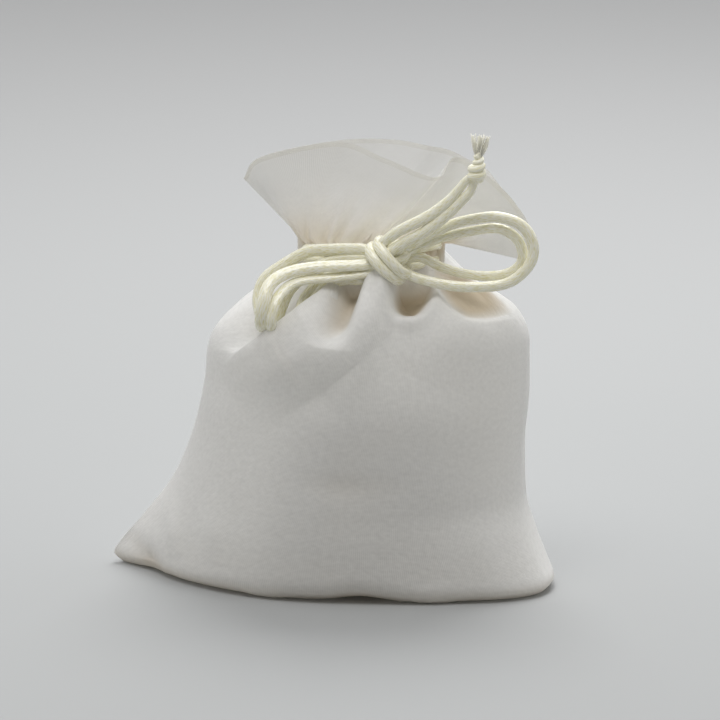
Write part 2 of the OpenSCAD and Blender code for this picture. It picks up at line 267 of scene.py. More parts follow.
def satin(name, colour=(0.95, 0.94, 0.83), edge=(0.83, 0.78, 0.44)):
    """Satin cord: a fine braid of shiny filaments over the cord's own coordinates, in millimetres, with
    painted highlights on the braid's crests.
    """
    look = Look(name)
    uv, around, along = look.cloth()
    around, along = look.math("MULTIPLY", around, 9.0), look.math("MULTIPLY", along, 3.4)
    lean, back = look.math("ADD", around, along), look.math("SUBTRACT", around, along)
    braid = look.math("MAXIMUM", look.math("SINE", lean), look.math("SINE", back))
    drawn_out = look.node("ShaderNodeMapping", {"Vector": uv, "Scale": (3.0, 0.35, 1.0)}).outputs[0]
    streak = look.noise(1.6, 5.0, drawn_out)
    # darker, yellower streaks at random along the cord
    colour_now = look.mix(look.remap(streak, 0.30, 0.62), shaded(edge), shaded(colour))
    # painted highlight: the braid's crests are painted a lighter cream
    colour_now = look.mix(look.remap(braid, 0.2, 1.0, 0.0, 0.3), colour_now, (0.97, 0.965, 0.90, 1))
    normal = look.bump(braid, 0.00002, 0.8)
    normal = look.bump(streak, 0.00005, 0.6, normal)
    body = look.node("ShaderNodeBsdfPrincipled", {
        "Base Color": colour_now, "Normal": normal, "Sheen Weight": 0.3, "Sheen Roughness": 0.3,
        "Roughness": look.remap(streak, 0.3, 0.7, 0.22, 0.34), "Specular IOR Level": 0.9,
        "Anisotropic": 0.6,
    })
    return look.finish(body)


def frayed(name):
    """Satin filaments that have come apart: pale, and lit through."""
    look = Look(name)
    streak = look.noise(0.8, 2.0, look.node("ShaderNodeUVMap", uv_map="Cloth").outputs[0])
    colour = look.mix(look.remap(streak, 0.35, 0.65), (0.96, 0.95, 0.88, 1), (1.0, 0.995, 0.97, 1))
    body = look.node("ShaderNodeBsdfPrincipled", {
        "Base Color": colour, "Roughness": look.remap(streak, 0.3, 0.7, 0.3, 0.5), "Specular IOR Level": 0.8,
    })
    lit = look.node("ShaderNodeBsdfTranslucent", {"Color": colour})
    return look.finish(look.blend(0.6, body, lit))


def thread(name, colour):
    """Fine sewing thread, with the turns of its twist as faint bands of painted shade."""
    look = Look(name)
    _, around, along = look.cloth()
    turn = look.math("ADD", around, look.math("MULTIPLY", along, 14.0))
    band = look.remap(look.math("SINE", turn), -1.0, 1.0)
    # painted shade in the grooves of the twist
    shade = look.mix(band, shaded(colour, 0.93), shaded(colour))
    body = look.node("ShaderNodeBsdfPrincipled", {
        "Base Color": shade, "Roughness": look.remap(band, 0.0, 1.0, 0.5, 0.62), "Sheen Weight": 0.2,
    })
    return look.finish(body)


def fibres(name, colour):
    """Loose white fibres, packed where the attribute Packed is 1 and almost clear where it is 0."""
    look = Look(name)
    packed = look.mark("Packed")
    place = look.node("ShaderNodeTexCoord").outputs["Object"]
    clumps = look.noise(350.0, 6.0, place)
    hairs = look.noise(2600.0, 3.0, place)
    shade = look.mix(look.remap(clumps, 0.3, 0.7), shaded(colour, 0.90), shaded(colour))
    normal = look.bump(clumps, 0.0012, 0.5)
    normal = look.bump(hairs, 0.0003, 0.6, normal)
    body = look.node("ShaderNodeBsdfPrincipled", {
        "Base Color": shade, "Normal": normal, "Sheen Weight": 0.3,
        "Roughness": look.remap(hairs, 0.3, 0.7, 0.75, 0.95),
    })
    clear = look.node("ShaderNodeBsdfTransparent", {"Color": (0.98, 0.98, 0.97, 1)})
    solid = look.remap(packed, 0.0, 1.0, 0.06, 1.0)
    return look.finish(look.blend(solid, clear, body))


VOILE = voile("voile", 0.93)
HEM = voile("folded_hem", 0.14)
SATIN = satin("satin_cord")
WADDING = fibres("wadding", (0.62, 0.615, 0.60))
THREAD = thread("thread", (0.90, 0.89, 0.86))
FRAYED = frayed("frayed_satin")

# -------- meshes


def in_scene(name, data):
    made = bpy.data.objects.new(name, data)
    bpy.context.scene.collection.objects.link(made)
    return made


def mesh_object(name, shape, material, **marks):
    """A smooth mesh piece. Its shape is points in millimetres, faces, and a cloth coordinate or None for
    each point. Marks have one value for each point."""
    points, faces, uvs = shape
    data = bpy.data.meshes.new(name)
    data.from_pydata((np.asarray(points) * MM).tolist(), [], [list(map(int, f)) for f in faces])
    data.validate()
    data.shade_smooth()
    data.materials.append(material)
    if uvs is not None:
        layer = data.uv_layers.new(name="Cloth")
        corner = np.zeros(len(data.loops), np.int32)
        data.loops.foreach_get("vertex_index", corner)
        layer.data.foreach_set("uv", np.asarray(uvs, np.float32)[corner].ravel())
    for mark, values in marks.items():
        layer = data.attributes.new(mark, "FLOAT", "POINT")
        layer.data.foreach_set("value", np.asarray(values, np.float32).ravel())
    return in_scene(name, data)


def grid_faces(rows, cols, flip=False, closed=False):
    """Quads over a grid of points. Closed joins each row's last point to its first."""
    i, j = np.meshgrid(np.arange(rows - 1), np.arange(cols if closed else cols - 1), indexing="ij")
    a, b = i * cols + j, i * cols + (j + 1) % cols
    quads = np.stack([a, b, b + cols, a + cols], axis=-1).reshape(-1, 4)
    return quads[:, ::-1] if flip else quads


def closed_faces(rings, sides):
    """Faces over rings of points and the two end points that come after them."""
    first, last = rings * sides, (rings - 1) * sides
    ends = [(first, (j + 1) % sides, j) for j in range(sides)]
    ends += [(first + 1, last + j, last + (j + 1) % sides) for j in range(sides)]
    return [*grid_faces(rings, sides, closed=True), *ends]


def tube_rings(line, half_w, half_t, side, sides, turn):
    """Rings of an oval tube along a line. Half_w and half_t are its half sizes at each point, side is the
    direction of its wide way at the start, and turn is how far the oval has turned at each point."""
    along = unit(np.gradient(line, axis=0))
    wide = np.zeros_like(line)
    last = unit(side - along[0] * (along[0] @ side))
    for i, a in enumerate(along):
        last = unit(last - a * (a @ last))
        wide[i] = last
    thick = np.cross(along, wide)
    c, s = np.cos(turn)[:, None], np.sin(turn)[:, None]
    wide, thick = wide * c + thick * s, thick * c - wide * s
    angle = np.linspace(0, 2 * math.pi, sides, endpoint=False)
    return (
        line[:, None] + wide[:, None] * (half_w[:, None] * np.cos(angle))[..., None]
        + thick[:, None] * (half_t[:, None] * np.sin(angle))[..., None]
    )


CAP_REACH = np.array([0.995, 0.85, 0.5])  # a round end's rings, as parts of the half thickness


def tube_mesh(line, half_w, half_t, side, sides, turn=0.0):
    """A closed oval tube with round ends: its points, faces and cord coordinates in millimetres."""
    count = len(line)
    half_w, half_t, turn = [np.broadcast_to(v, count).astype(float) for v in (half_w, half_t, turn)]
    caps = np.sqrt(1 - CAP_REACH**2)
    shrink = np.concatenate([caps, np.ones(count), caps[::-1]])
    reach = CAP_REACH * half_t.min()
    first, final = unit(line[0] - line[1]), unit(line[-1] - line[-2])
    line = np.vstack([line[0] + np.outer(reach, first), line, line[-1] + np.outer(reach[::-1], final)])
    half_w, half_t, turn = [np.pad(v, len(caps), mode="edge") for v in (half_w, half_t, turn)]
    rings = tube_rings(line, half_w * shrink, half_t * shrink, np.array(side, float), sides, turn)
    points = np.vstack([rings.reshape(-1, 3), line[0], line[-1]])
    run = run_of(line)
    around = np.linspace(0, 2 * math.pi, sides, endpoint=False)
    uvs = np.stack(np.broadcast_arrays(around[None, :], run[:, None]), axis=-1).reshape(-1, 2)
    return points, closed_faces(len(rings), sides), np.vstack([uvs, [[0, run[0]], [0, run[-1]]]])


def joined(parts):
    """Several (points, faces, uvs) as one."""
    points, faces, uvs, first = [], [], [], 0
    for p, f, uv in parts:
        points.append(p)
        uvs.append(uv)
        faces += [[first + k for k in face] for face in f]
        first += len(p)
    return np.vstack(points), faces, np.vstack(uvs)


def sheet_shape(grid, uvs, side=-1):
    """The shape of a grid of cloth on the front, side -1, or the back, side 1."""
    return grid.reshape(-1, 3), grid_faces(*grid.shape[:2], flip=side > 0), uvs.reshape(-1, 2)


def placed(piece, body, node):
    """The piece rides on a body and stands for a CAD node, which it hides."""
    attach(piece, body)
    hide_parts(node)
    return piece


# -------- camera

VIEW_AZIMUTH, VIEW_ELEVATION = math.radians(12), math.radians(14)
LENS, SENSOR = 800.0, 36.0
VIEW_WIDTH = 163.6  # millimetres across the picture, at the pouch
AIM_ACROSS, AIM_UP = 5.8, 48.4  # from the base's middle, in the picture's plane


def add_camera():
    """A long lens, in front of the pouch, a little to the right and above."""
    a, e = VIEW_AZIMUTH, VIEW_ELEVATION
    back = np.array([math.sin(a) * math.cos(e), -math.cos(a) * math.cos(e), math.sin(e)])
    right = np.array([math.cos(a), math.sin(a), 0])
    up = np.cross(back, right)
    distance = VIEW_WIDTH * LENS / SENSOR
    place = AIM_ACROSS * right + AIM_UP * up + distance * back
    data = bpy.data.cameras.new("camera")
    data.lens, data.sensor_width = LENS, SENSOR
    data.clip_start, data.clip_end = 0.01, 20
    camera = in_scene("camera", data)
    camera.location = Vector(place * MM)
    camera.rotation_euler = Vector(-back).to_track_quat("-Z", "Y").to_euler()
    bpy.context.scene.camera = camera


add_camera()

# -------- free cords

# Routes as offsets from the bow knot, within about 2 millimetres of the CAD source's.
ROUTES = {
    "right_loop_outer": [
        [5.8, 0, 4.4], [13.5, 0.5, 8.6], [19.2, 1.2, 10.3], [24.5, 1.7, 10.9], [29.2, 2, 9.6],
        [31.8, 2.3, 6.8], [32.6, 2.4, 3], [31.3, 2.0, -0.5], [27.6, 1.0, -3.8], [22.4, 0.2, -5],
        [14.6, -1.0, -4.9], [6.2, -1.0, -3.4],
    ],
    "right_loop_inner": [
        [6.9, 1.6, 3.3], [11.7, 1.8, 5.4], [18, 2.2, 7.1], [24.3, 2.7, 8], [28.4, 3.2, 5.9],
        [29.9, 3.6, 2.4], [29.2, 3.9, -0.5], [26.4, 3.9, -2.6], [22.1, 3.4, -3.3], [16.8, 2.7, -2.9],
        [11.6, 2.2, -1.5], [7, 1.6, 0.6],
    ],
    "left_loop_outer": [
        [-6.6, 0.6, 2], [-13, 0.6, 1.7], [-18.6, 0.6, 1], [-23.5, -0.5, -1.6], [-28, -2.6, -5],
        [-29.2, -4.4, -9], [-28.3, -6, -12.8], [-27.3, -8.8, -15], [-27, -11.6, -12.5],
        [-26.4, -12, -8.6], [-25.6, -9.4, -4.8], [-22.5, -6.2, -2.7], [-16.6, -4, -1.5],
        [-6.6, -2.2, -0.9],
    ],
    "left_loop_inner": [
        [-6.6, 0.4, -0.2], [-12, 0.6, -0.6], [-17.5, 0, -2.8], [-22.4, -2.4, -7.4],
        [-24.2, -5.6, -12.2], [-25.2, -8.8, -15.2], [-24.9, -11.6, -12.9], [-24.5, -11.4, -9.8],
        [-23.2, -8.9, -6.9], [-19.8, -5.6, -4.6], [-11, -2.8, -3.7], [-6.6, -2, -3.1],
    ],
    "right_tail_upper": [
        [2.8, -3, 7.6], [9.6, -3, 11.4], [14, -3, 14.9], [16.6, -3, 18], [18.2, -3, 20],
    ],
    "right_tail_lower": [
        [4.6, -3, 5.4], [8.8, -3, 7.8], [13.6, -3, 11.8], [16.9, -3, 15.1], [19.4, -3, 18],
    ],
    "left_tail_upper": [
        [-6, 1.6, -3.0], [-10, 1.8, -3.6], [-15.1, 0.6, -4.7], [-17.2, -1.2, -7], [-19.4, -3.4, -9.8],
    ],
    "left_tail_lower": [
        [-6, -0.2, -4.7], [-10, 0.2, -5.0], [-14.4, -0.8, -6.6], [-16.8, -3.4, -9.4], [-19, -5.8, -12],
    ],
}
# The cords run on into the bow knot, and the tails also into their end knots: a point before each route
# and, for a loop, one after it.
CORD_POINTS = 120
RIGHT_KNOT, LEFT_KNOT = np.array([20.7, -3.2, 22.2]), np.array([-20.4, -8.5, -14.4])
TUCKED = {
    "right_loop_outer": ([2.4, -0.4, 2.2], [2.6, 0.4, -1.8]),
    "right_loop_inner": ([3.0, 0.8, 1.6], [3.0, 1.0, 0.2]),
    "left_loop_outer": ([-4.0, 0.6, 1.6], [-3.6, -1.4, -0.5]),
    "left_loop_inner": ([-3.6, 0.8, -0.3], [-3.4, -1.0, -2.5]),
    "right_tail_upper": ([-2.4, -1.7, 3.4],), "right_tail_lower": ([-0.9, -2.5, 1.5],),
    "left_tail_upper": ([1.2, 2.6, -1.8],), "left_tail_lower": ([2.4, 2.6, -3.6],),
}


def cord_line(name):
    """The middle line of a free cord, in millimetres, with its tucked ends."""
    knot = RIGHT_KNOT if name.startswith("right") else LEFT_KNOT
    first, *last = TUCKED[name]
    return even([KNOT + p for p in (first, *ROUTES[name], *(last or [knot * 0.995]))], CORD_POINTS)


def add_free_cord(name, body, half_w, half_t, far_end, **rest):
    """One strand of a loop or a tail."""
    line = cord_line(name)
    wobble = 1 + 0.04 * np.sin(np.linspace(0, 9, len(line)) + len(name))
    shape = tube_mesh(line, half_w * wobble, half_t * wobble, (0, 0, 1), 24)
    piece = placed(mesh_object(name + "_cord", shape, SATIN), body, name)


# The two coils of a tail's end knot: lowest and highest, radius, half the cord's width, rounds, first angle.
COILS = (-1.9, 1.7, 1.3, 1.08, 1.9, 0.6), (2.1, 3.6, 0.7, 0.72, 1.3, 2.2)
FRINGE_STRANDS = 46
FRINGE_FROM, FRINGE_LENGTH = 3.4, 5.4
# How far apart the strands are where they start and how much further at their ends, across and front to back.
FRINGE_ACROSS, FRINGE_DEEP = (0.45, 1.85), (0.5, 1.1)


def add_knot_end(name, offset, lean):
    """The overhand knot at a tail's end and the frayed ends past it, leaning by two angles in degrees."""
    place = KNOT + offset
    x, y = math.radians(lean[0]), math.radians(lean[1])
    tilt = np.array([
        [math.cos(y), 0, math.sin(y)],
        [0, 1, 0],
        [-math.sin(y), 0, math.cos(y)],
    ]) @ np.array([[1, 0, 0], [0, math.cos(x), -math.sin(x)], [0, math.sin(x), math.cos(x)]])
    turns = []
    for low, high, radius, cord, rounds, start in COILS:
        k = np.linspace(0, 1, 46)
        angle = 2 * math.pi * rounds * k + start
        swell = np.sqrt(np.clip(np.sin(math.pi * (0.12 + 0.76 * k)), 0, 1))
        path = np.stack([radius * swell * np.cos(angle), radius * swell * np.sin(angle),
                         low + (high - low) * (k + 0.10 * np.sin(angle) / rounds)], axis=1)
        turns.append(tube_mesh(path @ tilt.T + place, cord, cord * 0.8, (1, 0, 0), 16))
    k = np.linspace(0, 1, 16)[:, None]
    core = np.array([0, 0, -2.0]) * (1 - k) + np.array([0, 0, 4.2]) * k
    turns.append(tube_mesh(core @ tilt.T + place, 0.95 - 0.35 * k[:, 0], 0.85 - 0.3 * k[:, 0], (1, 0, 0), 14))
    knot = mesh_object(name + "_end_knot_cord", joined(turns), SATIN)
    rng = np.random.default_rng(len(name))
    strands = []
    for _ in range(FRINGE_STRANDS):
        out = rng.uniform(-1, 1), rng.uniform(-0.45, 0.45)
        long = rng.uniform(0.82, 1.0)
        k = np.linspace(0, 1, 9)[:, None]
        bend = rng.normal(0, 0.18, 2)
        path = np.hstack([
            out[0] * (FRINGE_ACROSS[0] + FRINGE_ACROSS[1] * k**0.8 * long) + bend[0] * np.sin(3 * k),
            out[1] * (FRINGE_DEEP[0] + FRINGE_DEEP[1] * k * long) + bend[1] * np.sin(3 * k),
            FRINGE_FROM + FRINGE_LENGTH * k * long,
        ])
        strands.append(tube_mesh(path @ tilt.T + place, 0.17 - 0.07 * k[:, 0], 0.09, (1, 0, 0), 6))
    return knot, mesh_object(name + "_frayed_ends", joined(strands), FRAYED)


# Half the width and half the thickness of each loop's strands.
LOOPS = {
    "right_loop_outer": (1.22, 0.98), "right_loop_inner": (1.15, 0.95),
    "left_loop_outer": (1.45, 0.95), "left_loop_inner": (1.38, 0.95),
}
# The body that each tail rides on, its end knot's place, and how that knot leans.
TAILS = {"right": ("right_tail", RIGHT_KNOT, (0, 6)), "left": ("pouch", LEFT_KNOT, (21, 212))}


def add_free_cords():
    for name, sizes in LOOPS.items():
        add_free_cord(name, name.rsplit("_", 1)[0], *sizes, "object")
    taper = 1 - 0.3 * ease(np.linspace(-1.6, 1, CORD_POINTS))
    for side, (body, offset, lean) in TAILS.items():
        knot, fringe = add_knot_end(side, offset, lean)
        placed(knot, body, side + "_end_knot")
        placed(fringe, body, side + "_fringe")
        for level, ends in (("upper", [knot, fringe]), ("lower", [knot])):
            name = f"{side}_tail_{level}"
            add_free_cord(name, body, 1.28 * taper, 0.95 * taper, "knot", with_pieces=ends)


add_free_cords()

# -------- bow knot and drawcords


def add_fixed_cord(node, shape):
    """A piece of cord that is held along its whole length."""
    placed(mesh_object(node + "_cord", shape, SATIN), "pouch", node)


def add_bow_knot():
    """The crossed cords in the middle of the bow and the two strands wrapped round them."""
    tilt = math.radians(50)
    axis = np.array([math.sin(tilt), 0, math.cos(tilt)])
    out = np.array([math.cos(tilt), 0, -math.sin(tilt)])
    front = np.array([0, -1.0, 0])
    wraps = []
    for i, shift in enumerate((-1.12, 1.12)):
        angle = np.linspace(-math.pi, math.pi, 90)
        swell = 4.75 - 0.35 * np.cos(2 * angle + 0.3 * i)
        slip = shift + 0.45 * np.sin(angle + 0.9 * i)
        path = KNOT + np.outer(swell * np.cos(angle), front) + np.outer(swell * np.sin(angle), out)
        path += np.outer(slip, axis)
        wraps.append(tube_mesh(path, 1.3, 0.95, axis, 24, 0.25 * np.sin(3 * angle)))
    add_fixed_cord("bow_knot_wrap", joined(wraps))
    strands = []
    for i in range(5):
        k = np.linspace(-1, 1, 24)
        angle = 2 * math.pi * i / 5 + 0.9 * k
        spread = 2.0 * np.sqrt(1 - 0.35 * k * k)
        path = KNOT + np.outer(4.0 * k, axis) + np.outer(spread * np.cos(angle), front)
        path += np.outer(spread * np.sin(angle), out)
        strands.append(tube_mesh(path, 1.25, 1.05, axis + front, 18))
    add_fixed_cord("bow_knot_core", joined(strands))


def drawcord_line(out, level):
    """A drawcord's fixed part: round the neck in its channel, out of a side seam and to the knot."""
    inset = CLOTH_T + GAP + CORD_D / 2
    apart = CORD_D / 2 + 0.15
    high, low = NECK_Z + level * apart, NECK_Z - level * apart
    lift = 1.4 * max(level, 0)  # the right one's upper end is raised, to go in behind the knot
    angle = np.radians(np.arange(20, 320, 23))
    ring = np.stack([
        NECK_X + out * (NECK_HALF_W - inset) * np.cos(angle),
        (NECK_HALF_D - inset) * np.sin(angle),
        np.full(len(angle), high),
    ], axis=1)
    ends = [[KNOT[0] + out * 2.4, KNOT[1] + 3.4], [NECK_X + out * (NECK_HALF_W - 4), 0.8 - NECK_HALF_D]]
    return even([
        [*ends[0], high + lift], [*ends[1], high + lift],
        [NECK_X + out * (NECK_HALF_W - 1.2), -3.0, high + lift],
        *ring, [*ends[1], low], [*ends[0], low],
    ], 220)


def add_drawcords():
    for name, out, level in (("left_drawcord", -1, -1), ("right_drawcord", 1, 1)):
        add_fixed_cord(name, tube_mesh(drawcord_line(out, level), 1.0, 0.95, (0, 0, 1), 16))


add_bow_knot()
add_drawcords()

# -------- the pouch's cloth

# Rows of the body, from the ground to the neck, as in the CAD source: height as a part of NECK_Z, reach to
# the left and right as parts of HALF_W, reach forward as a part of HALF_D, and how pointed the left and
# right ends are. The reach forward is up to 2 mm less than the CAD source's from 0.58 to 0.82, where the
# cloth slopes back to the neck.
BODY = [
    [0.000, 0.96, 0.97, 0.84, 1.20, 0.50],
    [0.026, 1.00, 1.00, 0.96, 1.15, 0.45],
    [0.080, 0.95, 0.965, 1.0, 1.05, 0.45],
    [0.155, 0.86, 0.91, 1.00, 0.90, 0.45],
    [0.270, 0.735, 0.855, 0.985, 0.72, 0.48],
    [0.420, 0.64, 0.85, 0.965, 0.60, 0.50],
    [0.580, 0.58, 0.87, 0.94, 0.52, 0.50],
    [0.730, 0.545, 0.873, 0.845, 0.50, 0.50],
    [0.820, 0.43, 0.83, 0.715, 0.50, 0.50],
    [0.890, 0.30, 0.72, 0.55, 0.50, 0.50],
    [0.935, 0.22, 0.60, 0.40, 0.50, 0.50],
]
# The mouth's edge from the left seam to the right seam, as offsets from the middle of the neck.
EDGES = {
    -1: [[-29.5, 0, 15], [-25, -1.5, 20.5], [-7.5, -3, 25], [4.5, -5, 22.5], [16, -8, 19.5],
         [21.5, -4, 22.5], [27.5, -1, 18.5], [34.5, 1, 9.5], [36, 2, -1.5]],
    1: [[-29.5, 0, 15], [-26, 3, 19.5], [-9.5, 8, 23], [4.5, 8, 23.5], [14.5, 8, 22.5],
        [21, 6, 20.5], [27, 4, 17.5], [35, 3.5, 8], [36, 2, -1.5]],
}
COLUMNS = 288
T = np.linspace(0, 1, COLUMNS + 1)
FADE = np.sin(math.pi * T) ** 0.5  # folds and gathers end at the side seams
BASE_ROWS, FRILL_ROWS = 12, 60
LIFT = 0.15  # the cloth's underside stays off the ground

# Folds of the cloth below the neck, in the plane seen from the front, (x, z). Each has the points of its
# crest or valley, and at those points how far it stands out and how wide it is. A power of 2 is a round
# fold, and more is one with steep sides.
FOLDS = {
    -1: [
        # the round middle fold under the knot
        ([(14.4, 78), (13.2, 71), (11.2, 63), (7.4, 56), (1, 50)], [3.4, 5.6, 4.4, 2.4, 0],
         [3.0, 3.7, 5.0, 7, 11], 2.8),
        # the dark valley on its left
        ([(8.0, 78), (7.0, 71), (6.2, 65), (4.6, 59)], [-1.5, -4.8, -4.2, 0], [2.2, 2.8, 3.2, 4.5], 2.2),
        # the rim under the deep pocket on its right
        ([(16.6, 68.4), (18.8, 66), (21.6, 65.2), (24.6, 67.4)], [0.4, 2.0, 2.2, 1.4],
         [2.0, 2.3, 2.4, 2.4], 2.2),
        # soft creases low on the body
        ([(-36, 18), (-34.5, 11), (-33.5, 5)], [0, 1.2, 0], [2.2, 2.2, 2.6], 2.0),
        ([(-25, 24), (-24, 14), (-23, 6)], [0, 0.8, 0], [2.6, 3.0, 3], 2.0),
        ([(-47, 5.5), (-42, 3), (-37, 2)], [-0.8, -2.4, -0.4], [2.6, 2.8, 3], 2.0),
        ([(-8, 28.2), (8, 27), (26, 28.4)], [0, -0.6, 0], [3, 3.4, 3], 2.0),
        ([(11, 6), (11, -1)], [0, -1.3], [5, 6.5], 2.0),
        ([(26, 5), (27, -1)], [0, 1.2], [4, 6], 2.0),
        ([(-9, 4), (-10, -1)], [0, 1.0], [4, 6], 2.0),
        ([(37, 20), (38, 12), (41, 4)], [0, 0.8, 0.4], [3, 3.2, 3], 2.0),
    ],
    1: [
        ([(20, 77), (21, 70), (26, 63), (31, 54)], [3.6, 4.2, 2.8, 0], [2.8, 3.6, 5.4, 8], 2.4),
        ([(14.5, 77), (15, 70), (16, 62)], [-3.6, -4.2, 0], [2.2, 2.8, 4], 2.0),
        ([(9, 77), (8, 69), (5, 61), (2, 52)], [3.6, 4.4, 3.0, 0], [2.8, 3.6, 5.6, 8], 2.4),
        ([(3, 76), (0, 70), (-4, 63)], [-3.4, -4.0, 0], [2.2, 2.8, 4], 2.0),
        ([(-3, 75), (-8, 68), (-15, 60), (-20, 52)], [3.0, 3.4, 2.4, 0], [2.6, 3.4, 5.0, 7], 2.2),
        ([(27, 74), (33, 68), (38, 62)], [-2.8, -3.4, 0], [2.6, 3.2, 4], 2.0),
        ([(6, 20), (22, 17), (34, 22)], [0, -0.7, 0], [3, 4, 3], 2.0),
        ([(-36, 18), (-34.5, 11), (-33.5, 5)], [0, 1.0, 0], [2.4, 2.4, 2.8], 2.0),
    ],
}
# Folds that hang over: a line from left to right with the fold's strength at its points, how much painted
# shade its hollow gets for each millimetre of depth, and its section. A section's rows are the distance above
# the line on the plain surface, the distance above the line where that cloth goes, and how far it comes
# forward.
OVERHANGS = {
    -1: [
        # the left shoulder's ridge, with the tail's end knot behind it
        ([(-25, 51), (-17.7, 57.4), (-11, 62.2), (-4.2, 67.2), (0.4, 71.2), (4, 75)],
         [0, 0.55, 1, 1, 0.75, 0.2], 0.1,
         [(-19, -19, 0), (-12, -13, 3.8), (-8, -8.6, 6.6), (-4.5, -4.2, 8.2), (-2.6, -1.3, 9.2),
          (-1.8, 0, 9.3), (-1.1, -0.6, 8.2), (0.4, -3.5, 6.8), (1.8, -7, 5.6), (2.8, -9.4, 4.2),
          (3.4, -9.9, 2.2), (4.2, -8.4, 0), (6.2, -4, -1.5), (8.6, 1, -1.8), (12, 7, -1.4),
          (17, 15.5, -0.3), (20, 20, 0)]),
        # the small peak on the right with its straight edge and the recess behind it
        ([(22.5, 74), (24.7, 70.8), (28.8, 67), (33, 64.4), (38, 63.2), (44, 62.2)],
         [0.3, 0.7, 0.9, 1, 0.9, 0.5], 0.35,
         [(-15, -15, 0), (-8, -8, 1.4), (-3.4, -3, 3.4), (-1.4, -0.3, 4.4), (-0.2, 0.5, 4.0), (0.6, 0.1, 2.0),
          (1.4, -0.4, -1.6), (2.4, 0.6, -4.4), (4.6, 3.8, -5.6), (8, 8, -3.4), (13, 13, 0)]),
    ],
    1: [],
}
# The deep pocket between the middle fold and the small peak: its middle, half sizes and depth.
POCKET = (20.5, 70.6), (4.2, 5.2), 6.5


def ring_sizes(z):
    """The left and right reach, depth and end shapes of the pouch at heights z, up to the neck's top."""
    rows = np.array(BODY)
    heights = np.concatenate([rows[:, 0] * NECK_Z, [CHANNEL_LOW, CHANNEL_TOP]])
    neck = [NECK_X - NECK_HALF_W, NECK_X + NECK_HALF_W, NECK_HALF_D, 0.5, 0.5]
    columns = [-rows[:, 1] * HALF_W, rows[:, 2] * HALF_W, rows[:, 3] * HALF_D, rows[:, 4], rows[:, 5]]
    return [monotone(heights, np.append(c, [n, n]), z) for c, n in zip(columns, neck)]


def ear_turn(x, z):
    """How far the right ear is turned forward."""
    return -5 * np.maximum(0, x / HALF_W) ** 2 * np.maximum(0, 1 - z / 20)


def plain_y(side, x, z):
    """How far forward or back the body's plain surface is at points (x, z)."""
    left, right, reach, q_left, q_right = ring_sizes(z)
    t = np.arccos(1 - 2 * np.clip((x - left) / (right - left), 0, 1)) / math.pi
    power = 2 * (q_left + (q_right - q_left) * ease(t))
    return ear_turn(x, z) + side * reach * np.maximum(np.sin(math.pi * t), 0) ** power


def plain_points(side, x, z):
    return np.stack(np.broadcast_arrays(x, plain_y(side, x, z), z), axis=-1)


def across(z):
    """The x of each column of cloth at heights z."""
    left, right = ring_sizes(z)[:2]
    return left + (right - left) * (1 - np.cos(math.pi * T)) / 2


def beside(x, z, line, *values):
    """For points (x, z): the distance above a line from left to right, and values given at its points."""
    line = np.array(line, float)
    share = np.linspace(0, 1, 6 * len(line))
    fine = spline(line, share)
    values = [np.interp(share, np.linspace(0, 1, len(line)), v) for v in values]
    best = np.full(x.shape, np.inf)
    above, found = np.zeros(x.shape), [np.zeros(x.shape) for _ in values]
    for i in range(len(fine) - 1):
        a, d = fine[i], fine[i + 1] - fine[i]
        k = ((x - a[0]) * d[0] + (z - a[1]) * d[1]) / (d @ d)
        k = np.clip(k, 0, 1)
        gap_x, gap_z = x - a[0] - k * d[0], z - a[1] - k * d[1]
        away = np.hypot(gap_x, gap_z)
        near = away < best
        best = np.minimum(best, away)
        above = np.where(near, away * np.sign(d[0] * gap_z - d[1] * gap_x), above)
        found = [np.where(near, v[i] + (v[i + 1] - v[i]) * k, f) for v, f in zip(values, found)]
    return above, found


def fold_out(x, z, side):
    """How far the plain folds move the cloth out at points (x, z)."""
    total = np.zeros(x.shape)
    for line, heights, widths, power in FOLDS[side]:
        above, (height, width) = beside(x, z, line, heights, widths)
        total += height * np.exp(-np.abs(above / width) ** power)
    if side < 0:
        (px, pz), (half_x, half_z), deep = POCKET
        inside = np.abs((x - px) / half_x) ** 2.6 + np.abs((z - pz) / half_z) ** 2.6
        total -= deep * np.exp(-inside**1.6)
    return total


def gathers(t, seed):
    """The tight gathers round the neck: rounded crests and narrow valleys of uneven widths."""
    rng = np.random.default_rng(seed)
    widths = rng.uniform(0.7, 1.4, 11)
    edges = np.concatenate([[0], np.cumsum(widths)]) / widths.sum()
    phase = np.interp(t, edges, np.arange(12))
    tall = np.interp(phase, np.arange(12) + 0.5, rng.uniform(0.6, 1.1, 12))
    return tall * (np.sqrt(np.sin(math.pi * phase) ** 2 + 0.03) - 0.62)


def normals_of(grid, side):
    """Unit normals that point out of the pouch."""
    return unit(np.cross(np.gradient(grid, axis=1), np.gradient(grid, axis=0)) * -side)


